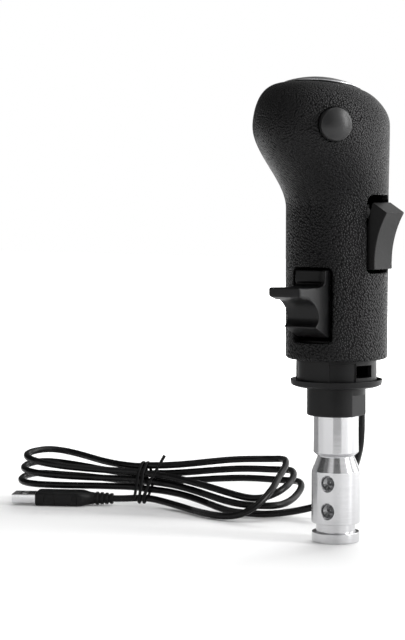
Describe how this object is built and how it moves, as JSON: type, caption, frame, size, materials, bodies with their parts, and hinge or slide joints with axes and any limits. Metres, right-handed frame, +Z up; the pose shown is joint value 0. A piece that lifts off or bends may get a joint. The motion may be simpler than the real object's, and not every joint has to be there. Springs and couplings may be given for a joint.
{
  "type": "truck style gear shift knob",
  "caption": "Grained shift knob with a finger lift range lever, side rocker and thumb button, on a turned clamp shank, with a USB lead tied in a hank.",
  "frame": {"origin": "centre of the shank's bore at its mouth, on the foot's lower face", "axes": "+Z up the shank; -Y the knob's front, where the range lever is; +X the side with the rocker"},
  "size_m": [0.2337, 0.119, 0.2085],
  "materials": {
    "grip_skin": "leather grain",
    "black_plastic": "satin",
    "grey_plastic": "satin",
    "inner_plastic": "matte",
    "shank_metal": "turned",
    "cap_metal": "satin",
    "steel": "plain",
    "black_steel": "blackened",
    "board": "lacquered",
    "cable_skin": "satin",
    "tie_skin": "satin",
    "wire_skin": "plain",
    "plug_metal": "plated",
    "tongue_plastic": "plain",
    "contact_metal": "plated"
  },
  "bodies": {
    "body": {"shank": "shank_metal", "grub_screws": "black_steel", "lock_collar": "black_plastic", "gaiter_ring": "black_plastic", "core_sleeve": "black_plastic", "shank_washer": "steel", "shank_nut": "steel", "cable_clamp": "inner_plastic", "core_frame": "inner_plastic", "main_board": "board", "controller_chip": "inner_plastic", "board_parts": "steel", "board_screws": "steel", "grip_shell_left": "grip_skin", "grip_shell_right": "grip_skin", "cap_ring": "black_plastic", "cap_plate": "cap_metal", "lever_pin": "steel", "lever_cradle": "inner_plastic", "range_switch": "inner_plastic", "rocker_pin": "steel", "rocker_cradle": "inner_plastic", "rocker_switches": "inner_plastic", "cradle_screws": "steel", "button_spring": "steel", "button_cup": "inner_plastic", "button_board": "board", "button_switch": "inner_plastic", "switch_wires": "wire_skin", "usb_cable_inner": "cable_skin", "usb_cable_lead": "cable_skin", "usb_cable_hank": "cable_skin", "usb_cable_tail": "cable_skin", "cable_tie": "tie_skin", "usb_plug_boot": "cable_skin", "usb_plug_shell": "plug_metal", "usb_plug_tongue": "tongue_plastic", "usb_contacts": "contact_metal"},
    "lever": {"range_lever": "black_plastic", "detent_ball": "steel", "detent_spring": "steel"},
    "rocker": {"rocker": "grey_plastic"},
    "button": {"thumb_button": "grey_plastic"}
  },
  "joints": [
    {"name": "range_lever_lift", "type": "hinge", "parent": "body", "child": "lever", "pos_m": [0, -0.015, 0.108], "axis": [-1, 0, 0], "range_deg": [0, 9]},
    {"name": "rocker_tilt", "type": "hinge", "parent": "body", "child": "rocker", "pos_m": [0.0145, 0, 0.1394], "axis": [0, -1, 0], "range_deg": [0, 27]},
    {"name": "thumb_button_press", "type": "slide", "parent": "body", "child": "button", "axis": [-0.809, 0.5878, 0], "range_m": [0, 0.0016], "stiffness_N_per_m": 400, "springref_m": -0.001, "deforming": ["button_spring"]}
  ]
}
